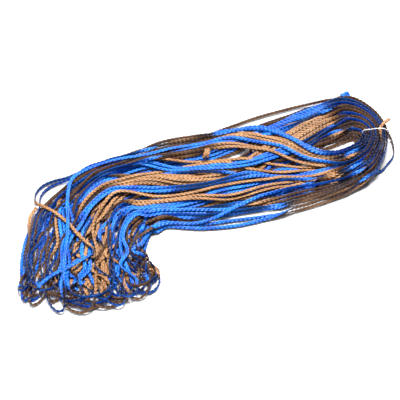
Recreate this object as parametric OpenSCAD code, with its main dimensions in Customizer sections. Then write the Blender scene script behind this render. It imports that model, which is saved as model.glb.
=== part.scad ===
// Hank of flat plaited two-colour cord, held open at one end by a thin tie.
// The long runs lie along X, the bend with its eye is at +X, and the loops fan out at -X.

/* [Cord] */
// Width of the flat plaited cord
cord_w = 5; // [4:0.5:6]
// Thickness of the flat plaited cord
cord_t = 2.2; // [1.8:0.1:2.6]

/* [Hank] */
// Height of the runs along their outer sides
run_h_outer = 10; // [8:1:14]
// Height of the runs along the middle of the hank
run_h_inner = 14; // [11:1:18]
// Height of the bend, where the cord stands on its edge
bend_h = 21; // [18:1:26]
// Height of the fanned loops
fan_h = 12; // [9:1:14]

/* [Tie] */
// Thickness of the white thread that holds the bend together
tie_d = 1.2; // [0.8:0.1:1.6]

/* [Hidden] */

BLUE = [0.12, 0.43, 0.94];
NAVY = [0.05, 0.22, 0.62];
TAN = [0.78, 0.58, 0.38];
BROWN = [0.52, 0.36, 0.24];
WHITE = [0.95, 0.95, 0.96];

eye_h = (run_h_inner + bend_h) / 2; // height of the walls beside the eye
end_length = 17; // length of a cut end that shows
knot_x = 218;
knot_y = 115;
knot_z = 12;
knot_r = 5;
knot_half_h = 3.5;
hitch_x = 18;
hitch_y = 72;
hitch_turn = -50;
tie_x = 226;
tie_y = 32;
tie_turn = -17;
tie_reach = 17; // half of the wall that the tie goes round
tie_knot_r = 1.6;
tie_tail = 5;
end_right = [240, 42]; // middle of the cut end that lies over the bend
end_right_turn = 27;
end_left = [-204, 46]; // middle of the cut end that lies over the fan
end_left_turn = 38;

steps = 4;          // spline points between two hand-set points
crown_inset = 0.16; // how far a step of a crown is set in, as a part of the band's width
crown_rise = 2;     // height of one step of a crown
crown_steps = 2;    // steps on a crown
gap = 0.3;          // air between a loose strand and what it lies against

// The hank's two long edges, from the eye to the shoulder where the loops begin to fan out.
back_edge = [[146, 110], [100, 107], [40, 103], [-20, 101], [-75, 98], [-128, 91]];
front_edge = [[146, -38], [100, -36], [40, -30], [-20, -25], [-56, -11], [-77, -20]];
run_bands = 5;

// The bend's outer side and the eye inside it, station by station from the back run to the front run.
bend_outer = [[146, 110], [172, 113], [200, 113], [216, 107], [229, 92], [239, 71], [243, 50],
              [241, 31], [232, 11], [217, -8], [200, -22], [172, -35], [146, -38]];
bend_inner = [[146, 32], [174, 46], [196, 52], [203, 52.5], [209, 50.5], [212, 47.5], [213, 43],
              [211, 39], [208, 34], [203, 30], [195, 27], [174, 22], [146, 32]];

// Lines that part the fanned loops, from the shoulder to the notch between two loops.
fan_lines = [[[-168, 76], [-200, 52], [-219, 23], [-234, -11], [-245, -46]],
             [[-146, 50], [-172, 26], [-191, -4], [-204, -30], [-212, -54]],
             [[-131, 30], [-152, 8], [-168, -20], [-179, -42], [-186, -64]],
             [[-115, 9], [-130, -12], [-141, -36], [-147, -57], [-151, -79]],
             [[-101, -11], [-111, -26], [-118, -44], [-121, -62], [-121, -82]],
             [[-86, -29], [-92, -39], [-93, -50], [-91, -60], [-88, -70]]];
fan_reach = [20, 21, 32, 45, 28]; // how far each loop's round end stands out past its notches

// Routes of the strands that lie loose beside the hank or across it: x, y and height of the middle.
back_stray_right_route = [[222, 117, 10], [205, 121, 6], [182, 123.5, 3], [158, 124, 3], [130, 123, 3],
                          [102, 121, 3], [76, 117, 3], [52, 111, 3], [36, 106, 3]];
back_stray_left_route = [[30, 106, 3], [10, 110, 3], [-14, 113, 3], [-40, 114, 3], [-66, 112, 3],
                         [-92, 105, 3], [-116, 97, 3]];
front_stray_route = [[158, -40, 1.4], [132, -41, 1.4], [104, -42, 1.4], [76, -42, 1.4], [46, -43, 1.4],
                     [18, -40, 1.4], [-10, -33, 1.4], [-34, -26, 1.4], [-54, -19, 1.4], [-68, -21, 1.4]];
right_loop_route = [[246.5, 44, 6], [246, 30, 3], [243, 16, 2.6], [237, 3, 2.6], [226, -6, 2.6], [214, -14, 2.6]];
upper_left_loop_route = [[-132, 94, 3], [-150, 92, 3], [-166, 92, 3], [-180, 89, 3], [-190, 81, 3],
                         [-195, 70, 3], [-195, 60, 3]];
upper_left_loop_inner_route = [[-146, 88, 3], [-163, 87, 3], [-176, 83, 3], [-185, 76, 3], [-190, 66, 3]];
bottom_loop_route = [[-206, -80, 2.6], [-209, -89, 2.6], [-206, -99, 2.6], [-198, -99, 2.6], [-194, -88, 2.6],
                     [-192, -80, 2.6]];

// Routes of the strands across the fan: x, y and how far each point rises over the fan's top. The tan one
// passes over the blue one.
cross_strand_tan_route = [[-190, 53, 0], [-178, 36, 1.6], [-168, 16, 3], [-162, -2, 1.6], [-155, -17, 0]];
cross_strand_blue_route = [[-141, 83, 0], [-152, 69, 0], [-161, 44, 0], [-167, 18, 0], [-173, -2, 0],
                           [-182, -26, 0]];

// One point of a smooth curve through four points, at t between the second and the third.
function blend(a, b, c, d, t) =
    0.5 * (2 * b + (c - a) * t + (2 * a - 5 * b + 4 * c - d) * t * t + (3 * b - a - 3 * c + d) * t * t * t);

// A smooth line through every hand-set point, with n points between neighbours.
function smooth(points, n) =
    let (last = len(points) - 1)
    concat([for (i = [0 : last - 1], k = [0 : n - 1])
                blend(points[max(i - 1, 0)], points[i], points[i + 1], points[min(i + 2, last)], k / n)],
           [points[last]]);

function backwards(points) = [for (i = [len(points) - 1 : -1 : 0]) points[i]];

// The line that lies a part f of the way from one line to another.
function between(a, b, f) = [for (i = [0 : len(a) - 1]) a[i] * (1 - f) + b[i] * f];

function stretch(points, first, last) = [for (i = [first : last]) points[i]];

// A round end that leaves point a, stands out by reach and comes back to point b.
function round_end(a, b, reach) =
    let (middle = (a + b) / 2, side = (b - a) / 2, out = [side[1], -side[0]] / norm(side))
    [for (w = [15 : 15 : 165]) middle - side * cos(w) + out * reach * sin(w)];

// A plain strip of the hank between two lines, with a stepped crown.
module strip(a, b, h) {
    for (level = [0 : crown_steps]) {
        f = level * crown_inset;
        linear_extrude(height = h - (crown_steps - level) * crown_rise)
            polygon(concat(between(a, b, f), backwards(between(a, b, 1 - f))));
    }
}

// One band of the long runs, counted from the back edge.
function run_line(k) = between(smooth(back_edge, steps), smooth(front_edge, steps), k / run_bands);
module run_band(k, h) { strip(run_line(k), run_line(k + 1), h); }

// A stretch of the bend between two of its stations.
module bend_stretch(first, last, h) {
    strip(stretch(smooth(bend_outer, steps), first * steps, last * steps),
          stretch(smooth(bend_inner, steps), first * steps, last * steps), h);
}

// One group of fanned loops: a strip with a round end.
function shoulder(k) = back_edge[5] * (1 - k / run_bands) + front_edge[5] * k / run_bands;
function fan_line(k) = smooth(concat([shoulder(k)], fan_lines[k]), steps);
module fan(k) {
    for (level = [0 : crown_steps]) {
        f = level * crown_inset;
        p = between(fan_line(k), fan_line(k + 1), f);
        q = between(fan_line(k), fan_line(k + 1), 1 - f);
        end = round_end(p[len(p) - 1], q[len(q) - 1], fan_reach[k] * (1 - f));
        linear_extrude(height = fan_h - (crown_steps - level) * crown_rise)
            polygon(concat(p, end, backwards(q)));
    }
}

// A loose strand: a flat oval section, ring_sides corners, swept along a route.
ring_sides = 8;
function heading(p, i) = let (d = p[min(i + 1, len(p) - 1)] - p[max(i - 1, 0)]) d / norm(d);
function ring(p, i, half_side, half_up) =
    let (t = heading(p, i),
         side = cross([0, 0, 1], t) / norm(cross([0, 0, 1], t)),
         up = cross(t, side))
    [for (k = [0 : ring_sides - 1])
        let (w = 360 * (k + 0.5) / ring_sides) p[i] + side * half_side * cos(w) + up * half_up * sin(w)];
module strand(route, half_side, half_up, n) {
    path = smooth(route, n);
    rings = [for (i = [0 : len(path) - 1]) each ring(path, i, half_side, half_up)];
    last = len(path) - 1;
    faces = concat(
        [[for (k = [0 : ring_sides - 1]) k]],
        [for (i = [0 : last - 1], k = [0 : ring_sides - 1])
            let (j = (k + 1) % ring_sides, a = i * ring_sides, b = a + ring_sides)
            each [[a + j, a + k, b + k], [a + j, b + k, b + j]]],
        [[for (k = [ring_sides - 1 : -1 : 0]) last * ring_sides + k]]);
    polyhedron(points = rings, faces = faces);
}
module flat_strand(route, n) { strand(route, cord_w / 2, cord_t / 2, n); }
module edge_strand(route, n) { strand(route, cord_t / 2, cord_w / 2, n); }

module run_back_outer() { color(TAN) run_band(0, run_h_outer); }
module run_back_inner() { color(BLUE) run_band(1, run_h_inner); }
module run_middle() { color(TAN) run_band(2, run_h_inner); }
module run_front_inner() { color(BLUE) run_band(3, run_h_inner); }
module run_front_outer() { color(NAVY) run_band(4, run_h_outer); }

module eye_back() { color(TAN) bend_stretch(0, 2, eye_h); }
module bend_back() { color(BROWN) bend_stretch(2, 5, bend_h); }
module bend_tip() { color(BLUE) difference() { bend_stretch(5, 7, bend_h); tie_groove(); } }
module bend_front() { color(BLUE) difference() { bend_stretch(7, 10, bend_h); tie_groove(); } }
module eye_front() { color(TAN) bend_stretch(10, 12, eye_h); }

module fan_loops_1() { color(BLUE) fan(0); }
module fan_loops_2() { color(NAVY) fan(1); }
module fan_loops_3() { color(TAN) fan(2); }
module fan_loops_4() { color(BLUE) fan(3); }
module fan_loops_5() { color(BROWN) fan(4); }

module back_stray_right() { color(BROWN) edge_strand(back_stray_right_route, 2); }
module back_stray_left() { color(TAN) edge_strand(back_stray_left_route, 2); }
module front_stray() { color(BLUE) flat_strand(front_stray_route, 2); }
module right_loop() { color(TAN) edge_strand(right_loop_route, 2); }
module upper_left_loop() { color(BROWN) edge_strand(upper_left_loop_route, 2); }
module upper_left_loop_inner() { color(BLUE) edge_strand(upper_left_loop_inner_route, 2); }
module bottom_loop() { color(BROWN) edge_strand(bottom_loop_route, 2); }

// Strands that lie across the top of the fanned loops.
function on_fan(route) = [for (p = route) [p[0], p[1], fan_h + gap + cord_t / 2 + p[2]]];
module cross_strand_tan() { color(TAN) flat_strand(on_fan(cross_strand_tan_route), 2); }
module cross_strand_blue() { color(BLUE) flat_strand(on_fan(cross_strand_blue_route), 2); }

// The cord's two cut ends.
module cut_end(at, turn, z) {
    translate([at[0], at[1], z + cord_t / 2]) rotate(turn) cube([end_length, cord_w, cord_t], center = true);
}
module cord_end_right() { color(TAN) cut_end(end_right, end_right_turn, bend_h + gap); }
module cord_end_left() { color(TAN) cut_end(end_left, end_left_turn, fan_h + gap); }

// The knot that ties the outermost strand back on itself, behind the bend.
module back_knot() {
    color(BLUE) translate([knot_x, knot_y, knot_z]) rotate_extrude($fn = 32)
        polygon([for (w = [-90 : 15 : 90]) [knot_r * cos(w), knot_half_h * sin(w)]]);
}

// A short turn of cord that lies across two strands on the back run.
module middle_hitch() {
    color(TAN) translate([hitch_x, hitch_y, run_h_inner + gap + cord_t / 2]) rotate(hitch_turn)
        cube([2 * cord_w, cord_t, cord_t], center = true);
}

// The tie: one turn of thread round the bend's wall, from the eye to the outer side.
module at_tie() { translate([tie_x, tie_y, 0]) rotate(tie_turn) children(); }
module tie() {
    color(WHITE) at_tie() difference() {
        translate([-tie_reach - tie_d, -tie_d / 2, 0])
            cube([2 * (tie_reach + tie_d), tie_d, bend_h + 2 * tie_d]);
        translate([-tie_reach, -tie_d, tie_d]) cube([2 * tie_reach, 2 * tie_d, bend_h]);
    }
}
module tie_groove() {
    at_tie() translate([-2 * tie_reach, -tie_d, -tie_d]) cube([4 * tie_reach, 2 * tie_d, 2 * tie_d]);
}
module tie_knot() {
    color(WHITE) at_tie() translate([tie_reach + tie_d + tie_knot_r, 0, bend_h]) {
        sphere(r = tie_knot_r, $fn = 24);
        for (turn = [-50, 40]) {
            rotate([0, 70, turn]) cylinder(r = tie_d / 2, h = tie_tail, $fn = 16);
        }
    }
}

run_back_outer();
run_back_inner();
run_middle();
run_front_inner();
run_front_outer();
eye_back();
bend_back();
bend_tip();
bend_front();
eye_front();
fan_loops_1();
fan_loops_2();
fan_loops_3();
fan_loops_4();
fan_loops_5();
back_stray_right();
back_stray_left();
front_stray();
right_loop();
upper_left_loop();
upper_left_loop_inner();
bottom_loop();
cross_strand_tan();
cross_strand_blue();
cord_end_right();
cord_end_left();
back_knot();
middle_hitch();
tie();
tie_knot();
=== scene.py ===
# %% [markdown]
# # A hank of flat plaited cord
# The object is one long flat cord, plaited from three two-coloured strips, wound into a hank and left
# lying on a table. One bend is held open by a white thread, and the loops at the other end have fanned out.
# This lesson draws the cord as one line from its first cut end to its last, settles that line as a pile,
# and then lets Geometry Nodes plait three strips along it.
# The first cell loads the fixed frame: its solids say where everything lies.

# %% The frame
import math

import bpy
import numpy as np
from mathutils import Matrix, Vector


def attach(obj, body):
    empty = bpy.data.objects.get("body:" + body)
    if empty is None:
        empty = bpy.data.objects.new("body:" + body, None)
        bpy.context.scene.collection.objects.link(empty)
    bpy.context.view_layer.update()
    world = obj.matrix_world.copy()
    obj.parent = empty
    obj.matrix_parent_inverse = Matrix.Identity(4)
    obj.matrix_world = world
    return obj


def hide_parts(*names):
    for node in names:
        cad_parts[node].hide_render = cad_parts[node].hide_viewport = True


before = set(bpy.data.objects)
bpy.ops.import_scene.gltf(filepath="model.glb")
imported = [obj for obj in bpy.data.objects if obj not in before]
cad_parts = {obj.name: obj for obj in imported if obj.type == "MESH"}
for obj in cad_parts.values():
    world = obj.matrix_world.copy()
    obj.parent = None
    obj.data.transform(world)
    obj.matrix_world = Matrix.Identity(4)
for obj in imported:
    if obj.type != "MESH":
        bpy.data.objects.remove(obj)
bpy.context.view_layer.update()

MM = 0.001

# %% [markdown]
# ## The camera
# A small thing on a table is looked at from above and a little from one side, through a long lens, so the
# near and the far loops keep almost the same size. The camera comes first, because the pile is judged
# through it all the way.

# %% Camera
camera_turn = math.radians(-18)
camera_rise = math.radians(50)
camera_far = 1.70
film_width = 36
view_width = 0.4762
looked_at = Vector((-0.0077, 0.0118, 0.0))

camera_data = bpy.data.cameras.new("camera")
camera_data.sensor_width = film_width
camera_data.lens = film_width * camera_far / view_width
camera = bpy.data.objects.new("camera", camera_data)
bpy.context.scene.collection.objects.link(camera)
to_camera = Vector((math.sin(camera_turn) * math.cos(camera_rise),
                    -math.cos(camera_turn) * math.cos(camera_rise),
                    math.sin(camera_rise)))
camera.location = looked_at + to_camera * camera_far
camera.rotation_euler = to_camera.to_track_quat("Z", "Y").to_euler()
bpy.context.scene.camera = camera
print("lens:", round(camera_data.lens), "mm, for a view", view_width, "m wide from", camera_far, "m away")

# %% [markdown]
# ## The cord's sizes
# Three strips are plaited flat. Each swings from side to side across the cord and rises and falls twice in
# every swing, so it goes over one neighbour and under the other. The strips are cut from a sheet that is
# blue above and tan below, and the plait keeps each face on its own side.

# %% Sizes of the cord
cord_w = 5.0
cord_t = 2.2
turns = 43
plait_pitch = 15.5
strip_w = 2.1
strip_t = 0.7
swing = 1.26
lift = 0.5
print("the plait takes", round(2 * swing + strip_w, 1), "of the cord's", cord_w, "mm")

# %% [markdown]
# ## A map of the hank
# A place in the hank is given by a station and a lane. Stations go along it, from beside the eye to the
# ends of the loops, and lanes go across it, from 0 at the back edge to 100 at the front edge. That way a
# strand's route is a short row of lane numbers, as on a weaver's draft. The lines below follow the edges
# of the frame's solids, in millimetres.

# %% Edges of the runs and the fan
back_edge = [(200, 115), (170, 114), (140, 111), (100, 108), (60, 105), (20, 103), (-20, 102),
             (-60, 99), (-100, 95)]
front_edge = [(200, -21), (170, -33), (140, -37), (100, -35), (60, -31), (20, -28), (-20, -24),
              (-56, -11), (-72, -16)]
fan_edges = [[(-128, 91), (-168, 76), (-200, 52), (-216, 24), (-231, -10), (-242, -46)],
             [(-118, 69), (-146, 50), (-172, 26), (-191, -4), (-204, -30), (-212, -54)],
             [(-108, 47), (-131, 30), (-152, 8), (-168, -20), (-179, -42), (-186, -64)],
             [(-97, 24), (-115, 9), (-130, -12), (-141, -36), (-147, -57), (-151, -79)],
             [(-87, 2), (-101, -11), (-111, -26), (-118, -44), (-121, -62), (-121, -82)],
             [(-77, -20), (-86, -29), (-92, -39), (-93, -50), (-91, -60), (-88, -70)]]
RUN = len(back_edge)
STATIONS = RUN + len(fan_edges[0])
print("stations:", RUN, "along the runs and", STATIONS - RUN, "in the fan")

# %% [markdown]
# ## From lanes to points
# In the runs a lane lies on the straight line between the two edges. The fan turns and widens, so it has
# six lines of its own, a fifth of its width apart. The two lines next to a lane are mixed, and one small
# function does that for the runs and for the fan.

# %% From lanes to points
def on_row(row, lane):
    """The point at a lane of a row of points that are evenly spread from lane 0 to lane 100."""
    across = lane / 100 * (len(row) - 1)
    first = int(min(max(math.floor(across), 0), len(row) - 2))
    part = across - first
    return row[first] * (1 - part) + row[first + 1] * part


def place(station, lane):
    """A whole station and a lane, as a point on the table, in millimetres."""
    if station < RUN:
        return on_row(np.array([back_edge[station], front_edge[station]], float), lane)
    return on_row(np.array([edge[min(station, STATIONS - 1) - RUN] for edge in fan_edges], float), lane)


print("the middle lane ends at", place(STATIONS - 1, 50), "mm")

# %% [markdown]
# ## The draft of the top layer
# What the eye sees is the top layer. The draft below is its plan: groups of strands that lie side by side,
# from the bottom of the pile to the top. Each row gives the arm, which is behind the eye or in front of it,
# how many strands the group has, how far apart they lie in lanes, which side they show at each station, and
# the lanes of the group's middle at the stations.
# B and T lie flat with the blue or the tan face up, b and t lean towards the front edge, and E and e stand
# on edge with the blue or the tan face to the front.

# %% The draft of the sheaf
draft = [
    # arm, strands, apart, faces, lanes
    ("back", 3, 4.5, "eeeeEEEEEEEEEEe",
     [38, 42, 44, 47, 47, 46, 44, 40, 34, 40, 38, 36, 36, 40, 44]),
    ("back", 6, 2.5, "tttTTTTTteeeeee",
     [22, 24, 29, 38, 54, 56, 53, 44, 34, 30, 27, 24, 24, 24, 24]),
    ("back", 3, 2.4, "bbbBBBBbbbbbbbE",
     [8.5, 10, 11, 13, 20, 23, 20, 21, 20, 21, 20, 13, 6, 5, 3]),
    ("back", 2, 1.8, "EEEBBBBBBeeeeee",
     [13, 15, 18, 19, 15, 13, 9, 8, 8, 12, 15, 16, 14, 12, 10]),
    ("back", 2, 2.0, "eeeeeeeeeeeeeee",
     [3, 3.5, 4.5, 5.5, 10, 17.5, 17, 15, 14, 16, 19, 22, 20, 18, 20]),
    ("back", 1, 2.0, "eeeeeeeeeeeeeee",
     [0, -1.5, -4, -5, -3.5, -1.5, -4.5, -7, -4, 1, 3, 3, 2, 1, 1]),
    ("front", 3, 2.4, "EEEEBBBBbbEEEEE",
     [80, 79, 78, 75.5, 74.5, 75, 79, 84, 76, 68, 68, 70, 72, 72, 72]),
    ("front", 2, 2.6, "eeeTTTTTteeeeee",
     [82, 81, 80, 79, 77, 79, 74, 75, 66, 57, 55, 60, 64, 66, 66]),
    ("front", 1, 2.0, "eeTTTTTTeeeeeee",
     [83, 82, 79.5, 81, 82, 81, 85, 88, 82, 80, 78, 80, 84, 88, 86]),
    ("front", 4, 2.0, "eEeEeEEEEeeeeee",
     [80, 83, 84.5, 87, 88, 87, 88, 91, 86, 84, 83, 84, 86, 90, 92]),
    ("front", 2, 2.4, "eeeetbbbbbbbbBB",
     [87.5, 88, 90, 91, 92.5, 93, 90, 92, 86, 78, 74, 75, 79, 85, 84]),
    ("front", 2, 1.8, "eeeeEEEEEEeeeee",
     [92.5, 93, 95, 95.5, 96, 95, 94, 95, 92, 90, 92, 90, 92, 94, 96]),
    ("front", 1, 2.0, "eeeebbbbbbeeeee",
     [99, 100, 101.5, 104, 105.5, 103, 101, 101, 99, 98, 96, 94, 95, 97, 99]),
    ("front", 1, 2.0, "eeeebbbbbbbbbee",
     [96.5, 97, 98.5, 103, 108, 109.5, 106, 105, 104, 103, 102, 99, 96, 98, 101]),
    ("front", 2, 2.2, "bbbbbEEbbbbbbee",
     [68, 70, 71.5, 68.5, 64.5, 64, 61, 59, 47, 39, 34, 31, 34, 38, 42]),
    ("front", 1, 2.0, "ttTTTTTTTTttttt",
     [73, 74.5, 76, 73.5, 69, 67.5, 66.5, 66, 49, 44, 43, 50, 55, 55, 54]),
]
print("groups in the sheaf:", len(draft))

# %% [markdown]
# ## The groups that cross over
# Some groups change sides on top of the sheaf. Most of them start in front of the eye, near the middle, and
# slant over the others to the back edge. They are laid last, so they come last in the draft.

# %% The draft of the crossing groups
draft += [
    ("back", 3, 3.0, "eEEbBBBBBbbbbbb",
     [34, 37, 42, 46, 50, 44, 31, 14, 4, -3, 10, 25, 32, 34, 36]),
    ("front", 1, 2.0, "eeTTTTTTttteeee",
     [64, 66, 67, 65.5, 57, 36, 30, 30, 28, 27, 26, 28, 28, 30, 30]),
    ("front", 1, 2.0, "eeTTTTTTTttttee",
     [62, 63, 65.5, 58, 46.5, 32, 21, 9, 3, 3, 9, 17, 21, 24, 26]),
    ("front", 2, 2.6, "eeTTTeeeeeeeeee",
     [66, 65, 61, 46, 22, 17, 15, 15, 13, 12, 10, 8, 6, 4, 5]),
    ("front", 3, 3.2, "eetTTeeeeeeeeee",
     [61.5, 58, 49, 27, 7, 4, 3, 4, 6, 8, 11, 12, 12, 13, 14]),
    ("front", 1, 2.0, "bbbbbBBBBbbbbee",
     [75, 69.5, 54, 34, 15, 10, 6, 7, 9, 10, 8, 2, 0, 0, -1]),
    ("front", 2, 2.4, "EEbbbeeeeeeeeee",
     [58.5, 54, 44, 13, 3, 0, -4, -3, 0, -1, 1, 2, 3, 5, 8]),
    ("front", 1, 2.0, "EEEEbbbbbeeeeee",
     [85, 85, 85, 84.5, 84.5, 95, 101.5, 104, 101, 100, 97, 95, 97, 99, 97]),
]
print("groups in the whole draft:", len(draft))

# %% [markdown]
# ## From groups to strands
# A group of strands that lie side by side is one row with a number and a distance, as a weaver would note
# it. Each of its strands becomes a half turn with lanes and faces of its own. A face is a letter here and
# an angle of the cord round its own middle line below. Every second strand of a group shows its other face
# at the bend and where the loops fan out, because no two strands there lie the same way.

# %% Rolls and strands
ROLLS = {"B": 0, "b": 32, "E": 80, "T": 180, "t": 212, "e": 262}
charted = {"back": [], "front": []}
for level, (arm, strands, apart, faces, lanes) in enumerate(draft):
    for k in range(strands):
        shift = (k - (strands - 1) / 2) * apart
        turned = faces[0].swapcase() + faces[1:7] + faces[7:].swapcase() if k % 2 else faces
        charted[arm].append({"level": level + k / 10, "faces": turned,
                             "lanes": [v + shift for v in lanes]})
print("drafted half turns:", {arm: len(rows) for arm, rows in charted.items()})

# %% [markdown]
# ## Strands that leave the draft
# Three strands stray from the sheaf. Two make wide loops at the upper left, and the first of them then
# crosses the fan with its tan face up. The third cuts straight across the fan with its blue face up. Lanes
# can't describe them, so their points are x and y in millimetres and a roll in degrees.

# %% Crossing strands
tails = {
    # draft row, strand: the last station that it keeps, then its own points
    (22, 0): (8, [(-120, 96, -60), (-150, 92, -80), (-166, 92, -90), (-180, 89, -90),
                  (-190, 81, -90), (-195, 70, -100), (-195, 60, -130), (-190, 53, -165),
                  (-178, 36, -180), (-168, 16, -180), (-162, -2, -180), (-155, -17, -180),
                  (-150, -28, -230), (-153, -36, -300), (-162, -39, -350), (-185, -47, -360),
                  (-205, -53, -360), (-220, -60, -380)]),
    (22, 1): (8, [(-122, 93, -60), (-148, 88, -80), (-163, 87, -90), (-176, 83, -90), (-185, 76, -90),
                  (-190, 66, -90), (-194, 52, -90), (-203, 34, -90), (-213, 10, -90), (-223, -20, -90),
                  (-231, -48, -90)]),
    (21, 0): (7, [(-96, 92, 0), (-122, 90, -10), (-141, 83, 0), (-152, 69, 0), (-161, 44, 0), (-167, 18, 0),
                  (-173, -2, 0), (-182, -26, 0), (-191, -58, -40), (-196, -80, -90)]),
}
for (row, k), (last, points) in tails.items():
    leg = next(leg for leg in charted["front"] if leg["level"] == row + k / 10)
    leg["tail"] = (last, points)
    lanes = np.linspace(0, 100, 101)
    ends = np.array([place(STATIONS - 1, v) for v in lanes])
    leg["lanes"][-1] = float(lanes[np.argmin(np.linalg.norm(ends - points[-1][:2], axis=1))])
    print("strand", row, k, "comes down at lane", leg["lanes"][-1])

# %% [markdown]
# ## The hidden turns
# Under the drafted strands lie more turns of the same cord, and they must not heap up in one place. So a
# small table counts the strands at every station, lane by lane. The drafted strands are counted first, and
# in the fan each of them wanders a little, drawn from one fixed seed, since loose loops never run parallel.

# %% A count of strands
SEED = 20
LANE_CELL = 2.5
LAST_CELL = 40
IN_FAN = (1.5, 98.5)
wander = np.r_[np.zeros(RUN), 0, 1, 2, 3, 4, 4]
chance = np.random.default_rng(SEED)
crowd = np.zeros((STATIONS, LAST_CELL + 1))


def lane_cells(lanes):
    """The cell of the table that a half turn is counted in at every station."""
    return np.arange(STATIONS), np.clip(np.rint(np.array(lanes) / LANE_CELL), 0, LAST_CELL).astype(int)


for leg in charted["back"] + charted["front"]:
    stray = chance.normal(0, 1, STATIONS) * wander
    stray[RUN:] = np.clip(np.array(leg["lanes"][RUN:]) + stray[RUN:], *IN_FAN) - leg["lanes"][RUN:]
    leg["lanes"] = list(leg["lanes"] + stray)
    crowd[lane_cells(leg["lanes"])] += 1
print("strands counted at each station:", int(crowd[0].sum()))

# %% [markdown]
# ## One hidden half turn
# A hidden half turn starts beside the eye and drifts to the loop that it belongs to, with random bends on
# the way. Many such ways are drawn, and the one through the emptiest cells is kept. Close to the eye it
# stands on edge. Along the runs its faces are drawn at random, and in the fan it always lies flat, since a
# flat strand closes the gaps between the strands above it.

# %% One hidden half turn
WAYS = 90
BESIDE_EYE = 22
drift = np.r_[0, 0, 0.05, 0.25, 0.5, 0.72, 0.88, 0.96, 1, 1, 1, 1, 1, 1, 1]
loose = np.r_[0.2, 0.3, 0.4, 1, 1, 1, 1, 0.8, 0.7, 1, 1.6, 1.8, 1.8, 1.5, 0.5]


def hidden_leg(start, end, inside):
    """A half turn that nobody drew. Of several ways between its two lanes it takes the least crowded."""
    ways = [np.clip(start * (1 - drift) + end * drift + chance.normal(0, 4, STATIONS) * loose, *IN_FAN)
            for _ in range(WAYS)]
    lanes = min(ways, key=lambda way: (crowd[lane_cells(way)] ** 2).sum())
    crowd[lane_cells(lanes)] += 1
    near_eye = inside if abs(start - 50) < BESIDE_EYE else chance.choice(list("Eebt"))
    faces = 3 * near_eye + "".join(chance.choice(list("BTEe"), 2).repeat(3))
    faces += "".join(chance.choice(list("BT"), 2).repeat(3))
    return {"level": -1 - chance.random(), "faces": faces, "lanes": list(lanes)}


print("ways tried for each hidden half turn:", WAYS)

# %% [markdown]
# ## Filling up
# Each arm gets as many hidden half turns as it still lacks. They start evenly spread beside the eye, in
# random order, and each one goes to the emptiest lane of the loops. At the end all strands are spread a
# little more evenly over the fan, or it would show bare places between crowded ones.

# %% Filling up the two arms
ARM_LANES = {"back": (4, 48), "front": (53, 97)}
EVEN_SHARE = (0.2, 0.4, 0.6, 0.7, 0.7, 0.7)


def emptiest_lane():
    """The lane of the loops that has the fewest strands round it."""
    bell = np.exp(-0.5 * (np.arange(-4, 5) / 1.6) ** 2)
    busy = np.convolve(np.pad(crowd[STATIONS - 3:].sum(axis=0), 4, mode="edge"), bell, "valid")
    return LANE_CELL * int(np.argmin(busy[1:LAST_CELL])) + LANE_CELL + chance.uniform(-1, 1)


def fill_up(arm, inside):
    """The drafted half turns of one arm, and under them as many hidden ones as the hank still lacks."""
    legs = list(charted[arm])
    for start in chance.permutation(np.linspace(*ARM_LANES[arm], turns - len(legs))):
        legs.append(hidden_leg(start, emptiest_lane(), inside))
    return legs


def spread(legs):
    """Spreads the strands more evenly over the fan and keeps their order from edge to edge."""
    free = [leg for leg in legs if "tail" not in leg]
    for station, share in zip(range(RUN, STATIONS), EVEN_SHARE):
        free.sort(key=lambda leg: leg["lanes"][station])
        for leg, lane in zip(free, np.linspace(*IN_FAN, len(free))):
            leg["lanes"][station] += share * (lane - leg["lanes"][station])


front_legs, back_legs = fill_up("front", "E"), fill_up("back", "e")
spread(front_legs + back_legs)
print("half turns:", len(back_legs), "behind,", len(front_legs), "in front")

# %% [markdown]
# ## One cord from end to end
# Round the bend the order of the strands is kept: the outermost behind is the outermost in front. At the
# other end each half turn meets one that ends near it. Both rules together make rings, so rings are opened
# into each other until a single cord runs through every turn.

# %% Joining the half turns
LOOP_LANES = 12
PASSES = 12
by_back = sorted(range(turns), key=lambda i: back_legs[i]["lanes"][0])
by_front = sorted(range(turns), key=lambda i: -front_legs[i]["lanes"][0])
front_of = dict(zip(by_back, by_front))


def strain(f, b):
    """How badly a front and a back half turn suit each other: a loop is some lanes wide."""
    return abs(abs(front_legs[f]["lanes"][-1] - back_legs[b]["lanes"][-1]) - LOOP_LANES) ** 1.5


def ring_from(b):
    """The back halves of the ring that one back half belongs to."""
    ring = [b]
    while back_after[front_of[ring[-1]]] != b:
        ring.append(back_after[front_of[ring[-1]]])
    return ring


def gain(f, g):
    """How much less strain there is if two front halves swap the back halves that follow them."""
    return (strain(f, back_after[f]) + strain(g, back_after[g])
            - strain(f, back_after[g]) - strain(g, back_after[f]))


back_after = dict(zip(sorted(range(turns), key=lambda i: front_legs[i]["lanes"][-1]),
                      sorted(range(turns), key=lambda i: back_legs[i]["lanes"][-1])))
for _ in range(PASSES):
    for f in range(turns):
        g = max(range(turns), key=lambda k: gain(f, k))
        if gain(f, g) > 0.01:
            back_after[f], back_after[g] = back_after[g], back_after[f]
while len(ring_from(0)) < turns:
    inside = {front_of[b] for b in ring_from(0)}
    _, f, g = max((gain(f, g), f, g) for f in inside for g in range(turns) if g not in inside)
    back_after[f], back_after[g] = back_after[g], back_after[f]

dropped = min((b for b in range(turns) if back_legs[b]["level"] < 0), key=lambda b: by_back.index(b))
order = ring_from(dropped)
print("turns on one cord:", len(order), "starting at place", by_back.index(dropped), "from outside")

# %% [markdown]
# ## The wall of the bend
# At the bend the thread has gathered the strands into a wall round the open eye, four on top of each other
# in every column. The order of the columns is the order behind the bend. Between the wall's outer and inner
# line a column is a simple mix of the two, and the lower rows lean a little into the eye, as in a loose coil.

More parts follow.
